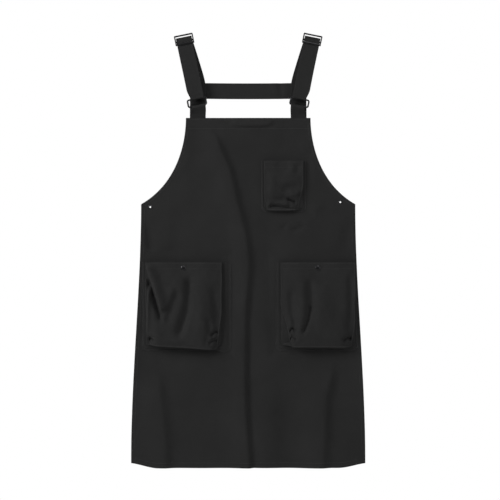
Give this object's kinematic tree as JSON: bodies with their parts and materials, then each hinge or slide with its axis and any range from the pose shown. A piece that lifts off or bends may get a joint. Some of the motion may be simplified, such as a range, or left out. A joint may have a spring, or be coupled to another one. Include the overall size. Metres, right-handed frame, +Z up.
{
  "type": "artist smock apron",
  "caption": "Long black twill bib apron with webbing shoulder straps, sliding adjusters, ring-hung bib, side bellows pockets with snaps and a chest pocket.",
  "frame": {"origin": "midway between the two places where the shoulder straps rest, at the inside top of their folds' level", "axes": "+X to the right as seen from the front, the front faces -Y, +Z up"},
  "size_m": [0.562, 0.0441, 1.0431],
  "materials": {
    "twill": "matt black cotton twill",
    "webbing": "matt black webbing",
    "tape": "matt black cotton tape",
    "hardware": "satin black"
  },
  "bodies": {
    "harness": {"cross_back_band": "webbing", "shoulder_strap_left": "webbing", "shoulder_strap_right": "webbing"},
    "adjuster_left": {"adjuster_left": "hardware", "strap_end_left": "webbing"},
    "adjuster_right": {"adjuster_right": "hardware", "strap_end_right": "webbing"},
    "ring_left": {"ring_left": "hardware"},
    "ring_right": {"ring_right": "hardware"},
    "apron": {"armhole_binding_left": "tape", "armhole_binding_right": "tape", "back_strap_left": "webbing", "back_strap_right": "webbing", "bib_tab_left": "webbing", "bib_tab_right": "webbing", "bib_top_facing": "twill", "chest_pocket_gusset_bottom": "twill", "chest_pocket_gusset_left": "twill", "chest_pocket_gusset_right": "twill", "corner_patch_left": "twill", "corner_patch_right": "twill", "eyelet_left": "hardware", "eyelet_right": "hardware", "eyelet_washer_left": "hardware", "eyelet_washer_right": "hardware", "front_panel": "twill", "left_pocket_gusset_bottom": "twill", "left_pocket_gusset_left": "twill", "left_pocket_gusset_right": "twill", "left_pocket_snap_back": "hardware", "left_pocket_snap_stud": "hardware", "right_pocket_gusset_bottom": "twill", "right_pocket_gusset_left": "twill", "right_pocket_gusset_right": "twill", "right_pocket_snap_back": "hardware", "right_pocket_snap_stud": "hardware"},
    "left_pocket_opening_side": {"left_pocket_front": "twill", "left_pocket_snap_cap": "hardware", "left_pocket_snap_socket": "hardware"},
    "right_pocket_opening_side": {"right_pocket_front": "twill", "right_pocket_snap_cap": "hardware", "right_pocket_snap_socket": "hardware"},
    "chest_pocket_opening_side": {"chest_pocket_front": "twill"}
  },
  "joints": [
    {"name": "apron_swing", "type": "hinge", "parent": "harness", "child": "apron", "pos_m": [0, -0.0044, -0.15581], "axis": [-1, 0, 0], "range_deg": [-15, 30], "deforming": ["back_strap_left", "back_strap_right"]},
    {"name": "ring_left_swing", "type": "hinge", "parent": "harness", "child": "ring_left", "pos_m": [-0.1228, -0.0044, -0.14718], "axis": [-1, 0, 0], "range_deg": [-7.5, 15]},
    {"name": "adjuster_left_slide", "type": "slide", "parent": "harness", "child": "adjuster_left", "axis": [0.1994, 0, -0.9799], "range_m": [0, 0.1]},
    {"name": "ring_right_swing", "type": "hinge", "parent": "harness", "child": "ring_right", "pos_m": [0.1228, -0.0044, -0.14718], "axis": [-1, 0, 0], "range_deg": [-7.5, 15]},
    {"name": "adjuster_right_slide", "type": "slide", "parent": "harness", "child": "adjuster_right", "axis": [-0.1994, 0, -0.9799], "range_m": [0, 0.1]},
    {"name": "left_pocket_open", "type": "hinge", "parent": "apron", "child": "left_pocket_opening_side", "pos_m": [-0.155, -0.0244, -0.739], "axis": [1, 0, 0], "range_deg": [0, 14], "deforming": ["left_pocket_gusset_left", "left_pocket_gusset_right"]},
    {"name": "right_pocket_open", "type": "hinge", "parent": "apron", "child": "right_pocket_opening_side", "pos_m": [0.167, -0.0244, -0.739], "axis": [1, 0, 0], "range_deg": [0, 14], "deforming": ["right_pocket_gusset_left", "right_pocket_gusset_right"]},
    {"name": "chest_pocket_open", "type": "hinge", "parent": "apron", "child": "chest_pocket_opening_side", "pos_m": [0.0845, -0.0134, -0.411], "axis": [1, 0, 0], "range_deg": [0, 10], "deforming": ["chest_pocket_gusset_left", "chest_pocket_gusset_right"]}
  ],
  "couplings": [
    {"joint": "ring_left_swing", "follows": "apron_swing", "ratio": 0.5},
    {"joint": "ring_right_swing", "follows": "apron_swing", "ratio": 0.5}
  ]
}
